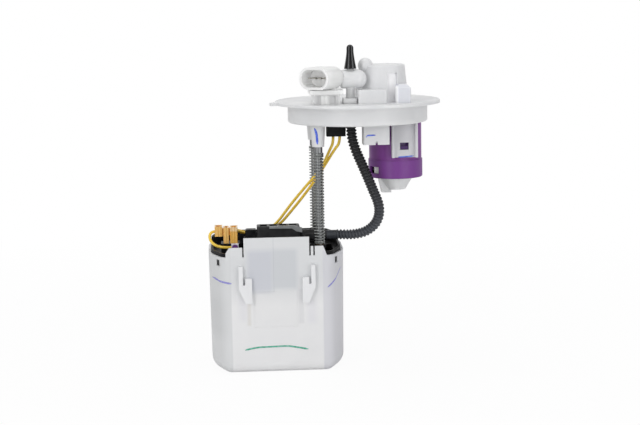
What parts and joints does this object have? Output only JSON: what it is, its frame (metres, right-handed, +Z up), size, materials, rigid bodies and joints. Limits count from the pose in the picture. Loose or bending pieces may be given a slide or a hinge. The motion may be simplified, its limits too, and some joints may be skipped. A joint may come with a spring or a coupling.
{
  "type": "fuel pump module",
  "caption": "In-tank fuel pump module: a round flange with a connector, outlet and vent valve, and two sprung guide rods that carry a reservoir with the electric pump inside.",
  "frame": {"origin": "centre of the flange's round seal face, where the skirt enters the tank opening", "axes": "+Z up, out of the tank; -Y is the front, with the reservoir's flat panel and the connector; +X right, from the reservoir towards the vent valve"},
  "size_m": [0.2086, 0.1466, 0.2844],
  "materials": {
    "acetal_white": "satin",
    "tub_natural": "satin",
    "black_plastic": "satin",
    "purple_plastic": "satin",
    "amber_plastic": "satin",
    "grey_plastic": "satin",
    "steel": "satin",
    "copper": "satin",
    "brass": "satin",
    "ferrite": "matte",
    "carbon": "matte",
    "impeller_resin": "satin",
    "black_rubber": "matte",
    "yellow_wire": "satin"
  },
  "bodies": {
    "flange": {"flange": "acetal_white", "connector_shell": "acetal_white", "terminals": "brass", "harness_plug": "black_plastic", "supply_fitting": "acetal_white", "vapour_tower": "acetal_white", "regulator_case": "acetal_white", "pressure_regulator": "steel", "vent_valve_case": "purple_plastic", "vent_valve_nozzle": "acetal_white", "guide_rod_front": "steel", "guide_rod_back": "steel", "rod_collars": "steel", "rod_retainers": "steel", "rod_spring_front": "steel", "rod_spring_back": "steel", "supply_hose": "black_plastic", "wire_left": "yellow_wire", "wire_right": "yellow_wire"},
    "reservoir": {"reservoir": "tub_natural", "carrier": "black_plastic", "guide_bushes": "copper", "pump_can": "steel", "isolator": "black_rubber", "inlet_cap": "black_plastic", "pump_plate": "black_plastic", "pump_head": "black_plastic", "brushes": "carbon", "brush_springs": "steel", "magnets": "ferrite", "fuel_line": "black_plastic", "check_spring": "steel", "line_cover": "black_plastic", "cover_arm": "grey_plastic", "hose_connector": "black_plastic", "strainer": "black_plastic", "jet_pump": "black_plastic", "feed_tube": "black_plastic", "foot_valve": "black_rubber", "pump_connector": "amber_plastic", "connector_lock": "purple_plastic", "jumper_wire": "yellow_wire"},
    "armature": {"motor_shaft": "steel", "armature_core": "steel", "commutator": "copper", "impeller": "impeller_resin"},
    "check_poppet": {"check_poppet": "acetal_white"},
    "vent_float": {"vent_float": "acetal_white"},
    "shipping_cap": {"shipping_cap": "black_plastic"}
  },
  "joints": [
    {"name": "reservoir_slide", "type": "slide", "parent": "flange", "child": "reservoir", "axis": [0, 0, 1], "range_m": [0, 0.04], "stiffness_N_per_m": 400, "springref_m": -0.05, "deforming": ["rod_spring_front", "rod_spring_back", "supply_hose", "wire_left", "wire_right"]},
    {"name": "armature_spin", "type": "hinge", "parent": "reservoir", "child": "armature", "pos_m": [-0.076, 0, -0.174], "axis": [0, 0, 1], "continuous": true},
    {"name": "check_valve", "type": "slide", "parent": "reservoir", "child": "check_poppet", "axis": [0, 0, 1], "range_m": [0, 0.0015], "stiffness_N_per_m": 50, "springref_m": -0.004, "deforming": ["check_spring"]},
    {"name": "vent_float", "type": "slide", "parent": "flange", "child": "vent_float", "axis": [0, 0, 1], "range_m": [0, 0.005]},
    {"name": "cap_pull", "type": "slide", "parent": "flange", "child": "shipping_cap", "axis": [0, 0, 1], "range_m": [0, 0.03]}
  ]
}
